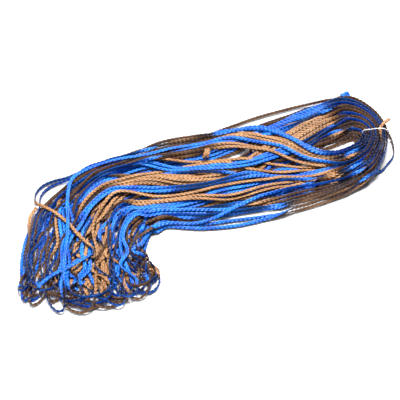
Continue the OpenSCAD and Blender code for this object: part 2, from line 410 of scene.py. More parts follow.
# %% Columns and rows of the wall
bend_outer = [(200, 113), (216, 107), (229, 92), (239, 71), (243, 50), (241, 31), (232, 11),
              (217, -8), (200, -22)]
bend_inner = [(200, 49), (204, 49.5), (208, 48.5), (211, 46), (212, 42), (211, 38), (208, 34),
              (204, 31.5), (200, 31)]
BEND = len(bend_outer)
ROWS = 4
EYE_LEAN = 0.3
columns = math.ceil(turns / ROWS)
column_of, row_of = {}, {}


def height_in_pile(b):
    """How high one turn lies, from its two half turns' places in the draft."""
    return back_legs[b]["level"] + front_legs[front_of[b]]["level"]


for c in range(columns):
    stack = sorted(by_back[c * ROWS:(c + 1) * ROWS], key=height_in_pile)
    for row, b in enumerate(stack):
        column_of[b] = (c + 0.5) / columns
        row_of[b] = row


def bend_point(k, b):
    """A point of the bend for one turn: its column says how far in, and the lower rows lean into the eye."""
    c = column_of[b]
    lean = EYE_LEAN * c * c * (1 - row_of[b] / (ROWS - 1))
    c += lean * (0.35 + 0.65 * math.sin(math.pi * k / (BEND - 1)))
    return np.array(bend_outer[k]) * (1 - c) + np.array(bend_inner[k]) * c


print("the wall:", columns, "columns of up to", ROWS, "strands")

# %% [markdown]
# ## The points of a half turn
# A third number with each point is the cord's roll, since a flat cord bends easily only when it stands on
# edge. The first stations keep a share of the wall's order, so the front strands leave the wall side by side
# and only then take the lanes of the draft. At the far end each half turn stops at a depth of its own.

# %% The points of a half turn
WALL_SHARE = {"back": [1.0], "front": [1.0, 0.6, 0.25]}


def on_edge(angle):
    """The nearest roll that stands the cord on edge."""
    return 90 + 180 * round((angle - 90) / 180)


def fan_heading(lane):
    """The way the fan points at its outer end, for one lane."""
    way = place(STATIONS - 1, lane) - place(STATIONS - 2, lane)
    return way / np.linalg.norm(way)


def leg_points(leg, arm, b):
    """Points of a half turn from beside the eye to the fan, with rolls that lean towards the front edge."""
    rows = []
    start = bend_point(0 if arm == "back" else BEND - 1, b)
    wall_lane = 100 * (back_edge[0][1] - start[1]) / (back_edge[0][1] - front_edge[0][1])
    for station, (lane, face) in enumerate(zip(leg["lanes"], leg["faces"])):
        kept = WALL_SHARE[arm][station] if station < len(WALL_SHARE[arm]) else 0
        at = place(station, lane * (1 - kept) + wall_lane * kept) if station else start
        rows.append([at[0], at[1], on_edge(ROLLS[face]) if kept > 0.5 else ROLLS[face]])
    if "tail" in leg:
        return rows[:leg["tail"][0] + 1]
    end = np.array(rows[-1][:2]) + fan_heading(leg["lanes"][-1]) * leg["depth"]
    if leg["depth"] > 0:
        rows.append([*end, rows[-1][2]])
    else:
        rows[-1][:2] = list(end)
    return rows


for leg in front_legs + back_legs:
    lane = leg["lanes"][-1]
    last_step = np.linalg.norm(place(STATIONS - 1, lane) - place(STATIONS - 2, lane))
    leg["depth"] = chance.uniform(-0.5, 0.25) if leg["level"] < 0 else chance.uniform(-0.4, 0.4)
    leg["depth"] *= last_step
print("a half turn ends up to", round(max(leg["depth"] for leg in front_legs + back_legs), 1),
      "mm further out")

# %% [markdown]
# ## The loops
# A loop leaves one half turn the way that it points and comes back into the next one. Four points with two
# handles make such a curve. Ends that lie close together get handles that bow outwards, so the loop stays
# open like an eye, because a cord on edge doesn't fold sharply.

# %% The loops
LOOP_REACH = 0.78
LEAST_REACH = 9
BOW = 0.45
BOW_UNDER = 30


def loop_points(a, a_way, b, b_way, edge):
    """A loop of cord on edge between two half turns."""
    apart = np.linalg.norm(b - a)
    reach = LOOP_REACH * apart + LEAST_REACH
    side = (b - a) / max(apart, 1)
    bow = BOW * max(0, 1 - apart / BOW_UNDER)
    h1 = a + (a_way - side * bow) * reach
    h2 = b + (b_way + side * bow) * reach
    rows = []
    for t in (0.2, 0.36, 0.5, 0.64, 0.8):
        p = a * (1 - t) ** 3 + 3 * h1 * t * (1 - t) ** 2 + 3 * h2 * t * t * (1 - t) + b * t ** 3
        rows.append([p[0], p[1], edge])
    return rows


def way_out(rows):
    """The way that the last two points of a half turn point."""
    d = np.array(rows[-1][:2]) - np.array(rows[-2][:2])
    return d / np.linalg.norm(d)


print("loops between the turns:", turns - 1)

# %% [markdown]
# ## Cut ends and the loosest turn
# One cut end comes out round the right of the bend, and the other turns up along the fan's outer side. One
# turn has slipped out of the wall and stands off to the right as a wider loop. The last half turn has to
# meet the left cut end, so its lanes ease over to that side on the way out.

# %% Cut ends and the loosest turn
END_LANE = 8
EASE_FROM = 2
EASE_OVER = 7
end_right = [(249, 47, 180), (243, 44, 180), (236, 40, 180), (231, 34, 200), (228, 24, 250), (222, 8, 270),
             (212, -8, 270)]
end_left = [(-224, -64, -90), (-229, -48, -90), (-226, -26, -90), (-220, -6, -90), (-214, 14, -110),
            (-209, 34, -150), (-204, 45, -180), (-193, 55, -180)]
right_loop = [(216, 112, -90), (232, 98, -90), (242, 78, -90), (246, 60, -90), (246.5, 44, -90),
              (246, 30, -90), (243, 16, -90), (237, 3, -90), (226, -6, -90), (214, -14, -90)]
last_front = front_legs[front_of[order[-1]]]
ease = np.clip((np.arange(STATIONS) - EASE_FROM) / EASE_OVER, 0, 1)
last_front["lanes"] = list(np.array(last_front["lanes"]) * (1 - ease) + END_LANE * ease)
loosest = min((b for b in order[1:] if row_of[b] == 0), key=lambda b: column_of[b])
print("the loosest turn comes", order.index(loosest), "turns after the right cut end")

# %% [markdown]
# ## The whole route
# Now the cord is followed once from end to end: out of the fan along the back, round the bend on its own
# column, back along the front, and through a loop to the next turn. Each part of it keeps a level, which
# says when it is laid, and a row if it belongs to the wall.

# %% The whole route
ON_TOP = 60
LOOP = -2
route, part_of, levels, rows_up = [], [], [], []


def add(rows, level, row_up=-1):
    """Adds points to the route as one part of the pile, with rolls that turn the short way."""
    levels.append(level)
    rows_up.append(row_up)
    for x, y, angle in rows:
        if route:
            angle += 360 * round((route[-1][2] - angle) / 360)
        route.append([x, y, angle])
        part_of.append(len(levels) - 1)


for n, b in enumerate(order):
    back_leg, front_leg = back_legs[b], front_legs[front_of[b]]
    if n == 0:
        add(end_right, ON_TOP, ROWS)
    else:
        add(leg_points(back_leg, "back", b)[::-1], back_leg["level"])
        edge = on_edge(route[-1][2])
        wall = [[*bend_point(k, b), edge] for k in range(1, BEND - 1)]
        add(right_loop if b == loosest else wall, 0, row_of[b])
    rows = [[x, y, -angle] for x, y, angle in leg_points(front_leg, "front", b)]
    rows[0][2] = route[-1][2]
    add(rows, front_leg["level"])
    if "tail" in front_leg:
        rows = front_leg["tail"][1]
        add(rows, ON_TOP)
    if n < turns - 1:
        after = back_legs[order[n + 1]]
        leg = leg_points(after, "back", order[n + 1])
        edge = on_edge((route[-1][2] + leg[-1][2]) / 2)
        loop = loop_points(np.array(rows[-1][:2]), way_out(rows),
                           np.array(leg[-1][:2]), way_out(leg), edge)
        add(loop, (front_leg["level"] + after["level"]) / 2, LOOP)
    else:
        add(end_left, ON_TOP)
route = np.array(route, float)
print("points on the route:", len(route), "in", len(levels), "parts")

# %% [markdown]
# ## The line on the table
# A smooth curve through the route's points is cut into steps of 2 mm, which is fine enough for a cord 5 mm
# wide. Rolls are smoothed along with the places, so the cord twists evenly. Every step remembers its part.

# %% The line on the table
STEP = 2.0


def smooth_line(points, step):
    """A smooth curve through the points, cut into equal steps."""
    p = np.asarray(points, float)
    p = np.vstack([2 * p[0] - p[1], p, 2 * p[-1] - p[-2]])
    pieces = []
    for a, b, c, d in zip(p[:-3], p[1:-2], p[2:-1], p[3:]):
        n = max(int(np.linalg.norm((c - b)[:2]) / (step / 4)), 2)
        t = np.linspace(0, 1, n, endpoint=False)[:, None]
        pieces.append(0.5 * (2 * b + (c - a) * t + (2 * a - 5 * b + 4 * c - d) * t * t
                             + (3 * b - a - 3 * c + d) * t ** 3))
    line = np.vstack(pieces + [p[-2][None]])
    far = np.r_[0, np.cumsum(np.linalg.norm(np.diff(line[:, :2], axis=0), axis=1))]
    at = np.linspace(0, far[-1], max(int(far[-1] / step), 2) + 1)
    return np.stack([np.interp(at, far, line[:, k]) for k in range(line.shape[1])], axis=1)


line = smooth_line(np.c_[route, np.arange(len(route))], STEP)
part = np.array(part_of)[np.rint(np.clip(line[:, 3], 0, len(route) - 1)).astype(int)]
roll = np.radians(line[:, 2])
print("the line on the table:", round(STEP * len(line) * MM, 2), "m,", len(line), "steps")

# %% [markdown]
# ## Laying the pile
# Strand after strand is laid on what is already there. A coarse grid remembers how much cord each patch of
# the table carries, and a new strand lies at the height that this much loosely packed cord would have. Only
# the wall of the bend is stacked by rows.

# %% First heights
PATCH = 6.0
PACKING = 0.6
MARGIN = 20
LAID_SOFT = 9
low = line[:, :2].min(axis=0) - MARGIN
load = np.zeros(((line[:, :2].max(axis=0) + MARGIN - low) / PATCH).astype(int) + 2)


def softened(values, reach):
    """Values along the cord, averaged over a bell-shaped stretch."""
    k = np.arange(-3 * reach, 3 * reach + 1)
    bell = np.exp(-0.5 * (k / reach) ** 2)
    return np.convolve(np.pad(values, 3 * reach, mode="edge"), bell / bell.sum(), "valid")


def patches(points):
    """The four patches round each point, with the share of each."""
    at = (points - low) / PATCH
    first = at.astype(int)
    f = at - first
    for i in (0, 1):
        for j in (0, 1):
            yield (first[:, 0] + i, first[:, 1] + j), abs(1 - i - f[:, 0]) * abs(1 - j - f[:, 1])


z = np.zeros(len(line))
for s in sorted(range(len(levels)), key=lambda k: levels[k]):
    on = np.flatnonzero(part == s)
    if rows_up[s] >= 0:
        z[on] = cord_w * (rows_up[s] + 0.5)
        continue
    spots = list(patches(line[on, :2]))
    z[on] = sum(load[cell] * share for cell, share in spots)
    for cell, share in spots:
        np.add.at(load, cell, share * cord_w * cord_t * STEP / PATCH ** 2 / PACKING)
z = softened(z, LAID_SOFT) + cord_t / 2
print("first heights: up to", round(float(z.max()), 1), "mm")

# %% [markdown]
# ## Three directions at every step
# To know how far a flat cord reaches, one must know which way it lies. At every step it has a direction
# along, a way that its face looks and a way across. The roll turns the last two round the first.

# %% Directions along the cord
def cord_frame(points, rolls):
    """The cord's direction, the way its face looks and the way across it, at every step."""
    T = np.gradient(points, axis=0)
    T /= np.linalg.norm(T, axis=1)[:, None]
    U = np.array([0, 0, 1.0]) - T * T[:, 2:3]
    U /= np.linalg.norm(U, axis=1)[:, None]
    R = np.cross(T, U)
    c, s = np.cos(rolls)[:, None], np.sin(rolls)[:, None]
    return T, U * c + R * s, R * c - U * s


_, face, _ = cord_frame(np.c_[line[:, :2], z], roll)
print("steps that lie flat:", round(100 * (abs(face[:, 2]) > 0.7).mean()), "%")

# %% [markdown]
# ## Finding neighbours
# Comparing every step with every other would take hundreds of millions of tests. Instead the steps are
# sorted into boxes as wide as the reach, and each step is compared with the steps in the boxes round its
# own. Steps that follow each other closely on the cord don't count, since a cord doesn't push itself there.

# %% Finding neighbours
BOXES_ACROSS = 1024
BOXES_UP = 64


def near_pairs(points, reach, gap):
    """Pairs of steps closer than the reach that are further apart than the gap along the cord."""
    cell = np.floor(points / reach).astype(np.int64)
    cell -= cell.min(axis=0) - 1
    key = (cell[:, 0] * BOXES_ACROSS + cell[:, 1]) * BOXES_UP + cell[:, 2]
    ranked = np.argsort(key, kind="stable")
    keys = key[ranked]
    found = []
    for dx in (-1, 0, 1):
        for dy in (-1, 0, 1):
            for dz in (-1, 0, 1):
                other = key + (dx * BOXES_ACROSS + dy) * BOXES_UP + dz
                first, last = np.searchsorted(keys, other, "left"), np.searchsorted(keys, other, "right")
                many = last - first
                i = np.repeat(np.arange(len(points)), many)
                j = ranked[np.repeat(first - np.cumsum(many) + many, many) + np.arange(many.sum())]
                keep = j > i + gap
                i, j = i[keep], j[keep]
                close = ((points[i] - points[j]) ** 2).sum(axis=1) < reach ** 2
                found.append(np.stack([i[close], j[close]]))
    return np.concatenate(found, axis=1)


REACH = 5.6
OWN_GAP = 4
base = np.c_[line[:, :2], z]
print("neighbours to begin with:", near_pairs(base, REACH, OWN_GAP).shape[1], "pairs")

# %% [markdown]
# ## Letting the pile settle
# Now the strands push each other apart. A flat cord reaches 2.5 mm to its edges and 1.1 mm to its faces, so
# two strands may come close face to face but not edge to edge. Every round moves overlapping strands apart a
# little, lets all of them sink a little, and smooths these shifts along the cord, because a cord is springy.
# The loops sink faster, because little lies under them and they come to rest on the table.

# %% Settling
ROUNDS = 60
NEW_PAIRS_EVERY = 6
PRINT_EVERY = 12
SINK = 0.04
LOOP_SINK = 0.2
KEPT_PLACE = 0.98
shift = np.zeros_like(base)
across_half, through_half = cord_w / 2, cord_t / 2
sink = SINK + (LOOP_SINK - SINK) * softened((np.array(rows_up)[part] == LOOP).astype(float), 8)


def reach_along(n, T, face, side):
    """How far the flat cord reaches along the ways n, as an ellipsoid with its own three directions."""
    return np.sqrt((across_half * (n * side).sum(axis=1)) ** 2
                   + (through_half * (n * face).sum(axis=1)) ** 2
                   + (through_half * (n * T).sum(axis=1)) ** 2)


def half_height(face, side):
    """Half the height of the cord's section, from the way that it lies."""
    return across_half * abs(side[:, 2]) + through_half * abs(face[:, 2])


for turn in range(ROUNDS):
    points = base + shift
    if turn % NEW_PAIRS_EVERY == 0:
        i, j = near_pairs(points, REACH, OWN_GAP)
    T, face, side = cord_frame(points, roll)
    d = points[j] - points[i]
    far = np.maximum(np.linalg.norm(d, axis=1), 0.05)
    n = d / far[:, None]
    both_reach = reach_along(n, T[i], face[i], side[i]) + reach_along(n, T[j], face[j], side[j])
    push = np.maximum(both_reach - far, 0)
    move = n * (push * 0.5)[:, None]
    total, hits = np.zeros_like(shift), np.full(len(shift), 1.0)
    for axis in range(3):
        total[:, axis] = (np.bincount(j, move[:, axis], len(shift))
                          - np.bincount(i, move[:, axis], len(shift)))
    hits += np.bincount(i, push > 0, len(shift)) + np.bincount(j, push > 0, len(shift))
    shift += total / np.sqrt(hits)[:, None]
    shift[:, 2] -= sink
    shift = np.stack([softened(shift[:, axis], 2) for axis in range(3)], axis=1)
    shift[:, :2] *= KEPT_PLACE
    shift[:, 2] = np.maximum(shift[:, 2], half_height(face, side) - base[:, 2])
    if turn % PRINT_EVERY == 0 or turn == ROUNDS - 1:
        print("round", turn, "pairs", len(i), "overlap", round(float(push[push > 0].mean()), 2), "mm")

# %% [markdown]
# ## The settled line
# The pile now lies still. From here on the line only has to be measured: which way each step lies, how far
# it reaches up and down, and how long the whole cord has become on its way over and under the others.

# %% The settled line
centre = base + shift
_, face, side = cord_frame(centre, roll)
half_h = half_height(face, side)
along = np.r_[0, np.cumsum(np.linalg.norm(np.diff(centre, axis=0), axis=1))]

# %% [markdown]
# ## What can be seen
# Strands deep in the pile need no fine detail, so every step learns how much cord lies over it. A fine map
# of the table keeps the highest cord over each of its cells, and a step that lies well under that is hidden.

# %% Seen and hidden steps
CELL = 1.5
MAP_MARGIN = 12
COVER = 2.6
top = np.zeros(((centre[:, :2].max(axis=0) + MAP_MARGIN - low) / CELL).astype(int) + 1)
level_way = np.linalg.norm(side[:, :2], axis=1)
half_w = across_half * level_way + 0.4
for share in np.linspace(-1, 1, 5):
    spots = (centre[:, :2]
             + side[:, :2] / np.maximum(level_way, 0.1)[:, None] * (half_w * share)[:, None])
    cells = ((spots - low) / CELL).astype(int)
    np.maximum.at(top, (cells[:, 0], cells[:, 1]), centre[:, 2] + half_h)
cells = ((centre[:, :2] - low) / CELL).astype(int)
covered = top[cells[:, 0], cells[:, 1]] - (centre[:, 2] + half_h)
seen = softened((covered < COVER).astype(float), 3) > 0.15
print("steps that can be seen:", round(100 * seen.mean()), "%")

# %% [markdown]
# ## The line that carries the plait
# The settled line becomes a mesh of points and edges. Every point keeps the way its blue face looks, the way
# across the cord, and how far the plait has turned there. Seen stretches get close points, hidden ones few.

# %% The carrying line
SEEN_STEP = 1.6
HIDDEN_STEP = 3.8
rate = np.where(seen, 1 / SEEN_STEP, 1 / HIDDEN_STEP)
count = np.r_[0, np.cumsum((rate[1:] + rate[:-1]) / 2 * np.diff(along))]
at = np.interp(np.arange(0, count[-1]), count, along)


def sampled(values):
    """Rows of numbers along the cord, read at the carrying line's points."""
    return np.stack([np.interp(at, along, values[:, k]) for k in range(values.shape[1])], axis=1)


def carrying_line(points, blue_ways, across_ways, far, starts):
    """A mesh of one open line for each start of the plait, in millimetres along and in metres in space."""
    n = len(points)
    mesh = bpy.data.meshes.new("carrying_line")
    edges = [(k + n * copy, k + 1 + n * copy) for copy in range(len(starts)) for k in range(n - 1)]
    mesh.from_pydata(np.tile(points * MM, (len(starts), 1)).tolist(), edges, [])
    for name, values in (("blue_way", blue_ways), ("across_way", across_ways)):
        layer = mesh.attributes.new(name, "FLOAT_VECTOR", "POINT")
        layer.data.foreach_set("vector", np.tile(values, (len(starts), 1)).astype(np.float32).ravel())
    layer = mesh.attributes.new("plait_turn", "FLOAT", "POINT")
    plait_turn = 2 * math.pi * (far[None, :] / plait_pitch + np.array(starts)[:, None])
    layer.data.foreach_set("value", plait_turn.astype(np.float32).ravel())
    return mesh


THIRDS = (0, 1 / 3, 2 / 3)
lines = [carrying_line(sampled(centre), sampled(face), sampled(side), at, (start,)) for start in THIRDS]
print("points on each carrying line:", len(at))

# %% [markdown]
# ## Helpers for node trees
# Materials and the plait are both trees of nodes. Setting every socket by hand takes many lines, so three
# helpers do it: one starts a material, one adds a node with its inputs, and one makes a colour ramp.

# %% Helpers for node trees
def painted(name, roughness, specular=0.5):
    """A new material with its node tree and its shader."""
    material = bpy.data.materials.new(name)
    material.use_nodes = True
    shader = material.node_tree.nodes["Principled BSDF"]
    shader.inputs["Roughness"].default_value = roughness
    shader.inputs["Specular IOR Level"].default_value = specular
    return material, material.node_tree, shader


def wire(tree, kind, settings=None, **inputs):
    """A node with its settings and inputs: an input is a number, a colour or another node's socket."""
    node = tree.nodes.new(kind)
    for key, value in (settings or {}).items():
        setattr(node, key, value)
    for key, value in inputs.items():
        slot = node.inputs[int(key[1:])] if key[0] == "i" and key[1:].isdigit() else node.inputs[key]
        if isinstance(value, bpy.types.NodeSocket):
            tree.links.new(value, slot)
        else:
            slot.default_value = value
    return node


def ramp(tree, factor, stops):
    """A colour ramp through (position, colour) stops."""
    node = wire(tree, "ShaderNodeValToRGB", Fac=factor)
    elements = node.color_ramp.elements
    while len(elements) < len(stops):
        elements.new(0.5)
    for element, (position, colour) in zip(elements, stops):
        element.position = position
        element.color = (*colour, 1)
    return node.outputs["Color"]


print("helpers:", painted.__name__, wire.__name__, ramp.__name__)

# %% [markdown]
# ## The strips' finish
# The strips are imitation leather: a smooth blue coat above, a tan one below, and a pressed grain. On a cut
# edge both layers show, and the cut edges are darkened nearly to black, partly as the sheet's dark core and
# partly as painted shade for the gaps between the strands. The position in the strip's section, kept by the
# plait as an attribute, tells the material which layer a point belongs to. Towards the sides of each strip
# the colour is darkened as painted shade, where the folds of a plait fall into shadow.

# %% Strip material
def strip_finish():
    """Blue above, tan below, cut edges darkened partly as dark core and partly as painted shade, painted
    shade towards the sides, with a fine grain.
    """
    material, tree, shader = painted("two_sided_strip", 0.36, 0.32)
    where = tree.nodes.new("ShaderNodeTexCoord").outputs["Object"]
    section = wire(tree, "ShaderNodeAttribute", {"attribute_name": "section"}).outputs["Vector"]
    parts = wire(tree, "ShaderNodeSeparateXYZ", i0=section)
    blotch = wire(tree, "ShaderNodeTexNoise", {}, Vector=where, Scale=60.0, Detail=3.0).outputs["Fac"]
    blue = ramp(tree, blotch, [(0.3, (0.001, 0.070, 0.50)), (0.7, (0.004, 0.195, 0.86))])
    tan = ramp(tree, blotch, [(0.3, (0.24, 0.105, 0.038)), (0.7, (0.40, 0.205, 0.085))])
    layer = wire(tree, "ShaderNodeMapRange", {}, Value=parts.outputs["Y"], i1=-0.5, i2=0.5).outputs[0]
    both = wire(tree, "ShaderNodeMix", {"data_type": "RGBA"}, i0=layer, i6=blue, i7=tan).outputs[2]
    depth = wire(tree, "ShaderNodeMath", {"operation": "ABSOLUTE"}, i0=parts.outputs["Y"]).outputs[0]
    # partly painted shade: the cut edges go nearly black, partly the sheet's dark core, partly the shade of
    # the gaps between strands
    dark_cut_and_shade = ramp(tree, depth, [(0.70, (0.06, 0.04, 0.035)), (0.97, (1, 1, 1))])
    both = wire(tree, "ShaderNodeMix", {"data_type": "RGBA", "blend_type": "MULTIPLY"}, i0=1.0, i6=both,
                i7=dark_cut_and_shade).outputs[2]
    edge = wire(tree, "ShaderNodeMath", {"operation": "ABSOLUTE"}, i0=parts.outputs["X"]).outputs[0]
    # painted shade: the colour darkens towards the strip's sides, as in the shaded folds of a plait
    painted_side_shade = ramp(tree, edge, [(0.45, (1, 1, 1)), (1.0, (0.15, 0.12, 0.12))])
    colour = wire(tree, "ShaderNodeMix", {"data_type": "RGBA", "blend_type": "MULTIPLY"}, i0=1.0, i6=both,
                  i7=painted_side_shade).outputs[2]
    tree.links.new(colour, shader.inputs["Base Color"])
    grain = wire(tree, "ShaderNodeTexNoise", {}, Vector=where, Scale=1400.0, Detail=2.0).outputs["Fac"]
    bump = wire(tree, "ShaderNodeBump", {}, Strength=0.12, Distance=0.0003, Height=grain).outputs["Normal"]
    tree.links.new(bump, shader.inputs["Normal"])
    return material


strip_material = strip_finish()
print("finish:", strip_material.name)

# %% [markdown]
# ## Sums in a node tree
# The plait is a sum of waves, so its tree holds many small sums. Each of these helpers adds one of them: a
# sum of numbers, one of vectors, a vector made longer, and a value that the carrying line has kept.

# %% Sums in a node tree
def number(tree, operation, a, b=0.0):
    """A sum of one or two numbers."""
    return wire(tree, "ShaderNodeMath", {"operation": operation}, i0=a, i1=b).outputs[0]


def vector(tree, operation, a, b=None):
    """A sum of one or two vectors."""
    node = wire(tree, "ShaderNodeVectorMath", {"operation": operation}, i0=a)
    if b is not None:
        tree.links.new(b, node.inputs[1])
    return node.outputs[0]


def scaled(tree, a, factor):
    """A vector times a number."""
    return wire(tree, "ShaderNodeVectorMath", {"operation": "SCALE"}, i0=a, Scale=factor).outputs[0]


def kept_value(tree, name, kind):
    """A value that the points carry under a name."""
    node = tree.nodes.new("GeometryNodeInputNamedAttribute")
    node.data_type = kind
    node.inputs["Name"].default_value = name
    return node.outputs[0]


print("helpers:", number.__name__, vector.__name__, scaled.__name__, kept_value.__name__)

# %% [markdown]
# ## The path of one strip
# In a plait of three every strip swings from side to side once in a pitch and goes up and down twice. So its
# path is the cord's line moved by one wave across and one of half the length up and down. The strip's width
# stays square to this path, and the path is stored as a curve with that as its normal.

# %% The path of one strip
def strip_path(tree, given):
    """The line moved along the plait's two waves, as a curve whose normal is the strip's width."""
    blue_way = kept_value(tree, "blue_way", "FLOAT_VECTOR")
    across_way = kept_value(tree, "across_way", "FLOAT_VECTOR")
    turn = kept_value(tree, "plait_turn", "FLOAT")
    double = number(tree, "MULTIPLY", turn, 2.0)
    per_metre = number(tree, "DIVIDE", 2 * math.pi, given["Pitch"])
    sideways = number(tree, "MULTIPLY", number(tree, "SINE", turn), given["Swing"])
    upwards = number(tree, "MULTIPLY", number(tree, "SINE", double), given["Lift"])
    slope = number(tree, "MULTIPLY", number(tree, "COSINE", turn), given["Swing"])
    side_slope = number(tree, "MULTIPLY", slope, per_metre)
    onward = vector(tree, "CROSS_PRODUCT", blue_way, across_way)
    width_way = vector(tree, "SUBTRACT", across_way, scaled(tree, onward, side_slope))
    width_way = vector(tree, "NORMALIZE", width_way)
    offset = vector(tree, "ADD", scaled(tree, across_way, sideways), scaled(tree, blue_way, upwards))
    moved = wire(tree, "GeometryNodeSetPosition", {}, Geometry=given["Geometry"], Offset=offset).outputs[0]
    stored = wire(tree, "GeometryNodeStoreNamedAttribute", {"data_type": "FLOAT_VECTOR", "domain": "POINT"},
                  Geometry=moved, Name="width_way", Value=width_way).outputs[0]
    curve = wire(tree, "GeometryNodeMeshToCurve", {}, Mesh=stored).outputs[0]
    return wire(tree, "GeometryNodeSetCurveNormal", {"mode": "FREE"}, Curve=curve,
                Normal=kept_value(tree, "width_way", "FLOAT_VECTOR")).outputs[0]


print("the path has waves of", plait_pitch, "mm across and", plait_pitch / 2, "mm up and down")

# %% [markdown]
# ## The section of one strip
# A strip's section is a flat rectangle. It starts as a square, and each corner's place in the square, from
# -1 to 1, is stored before the square is sized. By that the finish knows the blue side, the tan side and the
# cut edges.

# %% The section of one strip
def strip_section(tree, given):
    """A rectangle as wide and thick as the strip, with each corner's place stored as section."""
    square = wire(tree, "GeometryNodeCurvePrimitiveQuadrilateral", {"mode": "RECTANGLE"}, i0=1.0, i1=1.0)
    corner = scaled(tree, tree.nodes.new("GeometryNodeInputPosition").outputs[0], 2.0)
    marked = wire(tree, "GeometryNodeStoreNamedAttribute", {"data_type": "FLOAT_VECTOR", "domain": "POINT"},
                  Geometry=square.outputs[0], Name="section", Value=corner).outputs[0]
    size = wire(tree, "ShaderNodeCombineXYZ", X=given["Strip Width"], Y=given["Strip Thickness"],
                Z=1.0).outputs[0]
    sized = vector(tree, "MULTIPLY", tree.nodes.new("GeometryNodeInputPosition").outputs[0], size)
    return wire(tree, "GeometryNodeSetPosition", {}, Geometry=marked, Position=sized).outputs[0]


print("the section is", strip_w, "mm by", strip_t, "mm")

# %% [markdown]
# ## The plait
# One tree plaits one strip, and it is used three times with the start a third of a turn further on. Its
# inputs are the sizes and the finish, so the knot and the hitch can use it too.

# %% The plait's tree
def plait_tree():
    """A strip of a flat plait along a line that carries blue_way, across_way and plait_turn."""
    tree = bpy.data.node_groups.new("plait_strip", "GeometryNodeTree")
    add_socket = tree.interface.new_socket
    add_socket("Geometry", in_out="INPUT", socket_type="NodeSocketGeometry")
    for name in ("Pitch", "Swing", "Lift", "Strip Width", "Strip Thickness"):
        add_socket(name, in_out="INPUT", socket_type="NodeSocketFloat")
    add_socket("Finish", in_out="INPUT", socket_type="NodeSocketMaterial")
    add_socket("Geometry", in_out="OUTPUT", socket_type="NodeSocketGeometry")
    given = tree.nodes.new("NodeGroupInput").outputs
    drawn = wire(tree, "GeometryNodeCurveToMesh", {}, Curve=strip_path(tree, given),
                 i1=strip_section(tree, given))
    drawn.inputs["Fill Caps"].default_value = True
    whole = wire(tree, "GeometryNodeRealizeInstances", {}, Geometry=drawn.outputs[0]).outputs[0]
    done = wire(tree, "GeometryNodeSetMaterial", {}, Geometry=whole, Material=given["Finish"]).outputs[0]
    tree.links.new(done, tree.nodes.new("NodeGroupOutput").inputs[0])
    return tree


plait = plait_tree()
print("inputs of the plait:", [item.name for item in plait.interface.items_tree if item.in_out == "INPUT"])

# %% [markdown]
# ## Three strips
# The real cord comes apart into three strips, so each is a piece of its own. The same tree is evaluated on
# three copies of the line that differ only in where the plait starts. The result is kept as a plain mesh, and
# the modifier is removed.

# %% The three strips
def plaited(name, line_mesh):
    """The strips along one carrying line as a plain mesh."""
    piece = bpy.data.objects.new(name, line_mesh)
    bpy.context.scene.collection.objects.link(piece)
    modifier = piece.modifiers.new("plait", "NODES")
    modifier.node_group = plait
    values = {"Pitch": plait_pitch * MM, "Swing": swing * MM, "Lift": lift * MM,
              "Strip Width": strip_w * MM, "Strip Thickness": strip_t * MM, "Finish": strip_material}
    for item in plait.interface.items_tree:
        if item.in_out == "INPUT" and item.name in values:
            modifier[item.identifier] = values[item.name]
    mesh = bpy.data.meshes.new_from_object(piece.evaluated_get(bpy.context.evaluated_depsgraph_get()))
    piece.modifiers.remove(modifier)
    piece.data = mesh
    return piece


strips = [plaited(f"strip_{k + 1}", line_mesh) for k, line_mesh in enumerate(lines)]
for piece in strips:
    print(piece.name, 2 * len(piece.data.polygons), "triangles")

# %% [markdown]
# ## Short pieces of cord
# A knot and a hitch sit on the pile. Each is a short piece of the same cord, plaited by the same tree along a
# line of its own. Its height comes from the map of the pile's top, so it rests on the strands under it.

# %% Short pieces of cord
def pile_top(x, y, reach=3):
    """The height of the pile near a place, in millimetres."""
    i, j = ((np.array([x, y]) - low) / CELL).astype(int)
    return float(top[i - reach:i + reach + 1, j - reach:j + reach + 1].max())


def short_cord(name, points, rolls):
    """A short length of the plaited cord through points with a roll at each, as one piece."""
    far = np.r_[0, np.cumsum(np.linalg.norm(np.diff(points, axis=0), axis=1))]
    fine = np.arange(0, far[-1], 1.0)
    fine_points = np.stack([softened(np.interp(fine, far, points[:, k]), 1) for k in range(3)], axis=1)
    _, blue_ways, across_ways = cord_frame(fine_points, np.radians(np.interp(fine, far, rolls)))
    return plaited(name, carrying_line(fine_points, blue_ways, across_ways, fine, THIRDS))


print("the pile's top in the middle of the runs:", round(pile_top(0, 40), 1), "mm")

# %% [markdown]
# ## The knot behind the bend
# An overhand knot pulled together looks like a small trefoil. A trefoil has a formula: three lobes round a
# middle, with a wave of heights that carries the cord over and under itself. It is flattened a little here
# and set into the outermost strands.

# %% The knot behind the bend
KNOT_SINK = 4
CUT_GAP = 0.15
KNOT_SIZE = (1.7, 1.5, 1.3)
knot_x, knot_y = 216, 109
knot_z = pile_top(knot_x, knot_y) - KNOT_SINK
angle = np.linspace(CUT_GAP, 2 * math.pi - CUT_GAP, 40)
trefoil = np.stack([np.sin(angle) + 2 * np.sin(2 * angle), np.cos(angle) - 2 * np.cos(2 * angle),
                    -np.sin(3 * angle)], axis=1) * KNOT_SIZE
knot_points = trefoil + [knot_x, knot_y, knot_z]
back_knot = short_cord("back_knot_cord", knot_points, np.zeros(len(knot_points)))
print("knot at height", round(knot_z, 1), "mm")

# %% [markdown]
# ## The hitch in the middle
# A short bent turn of cord, tan face up, lies over two strands of the back run, as if somebody had marked
# them. A few points round its middle are enough, lowest where it goes down between the strands.

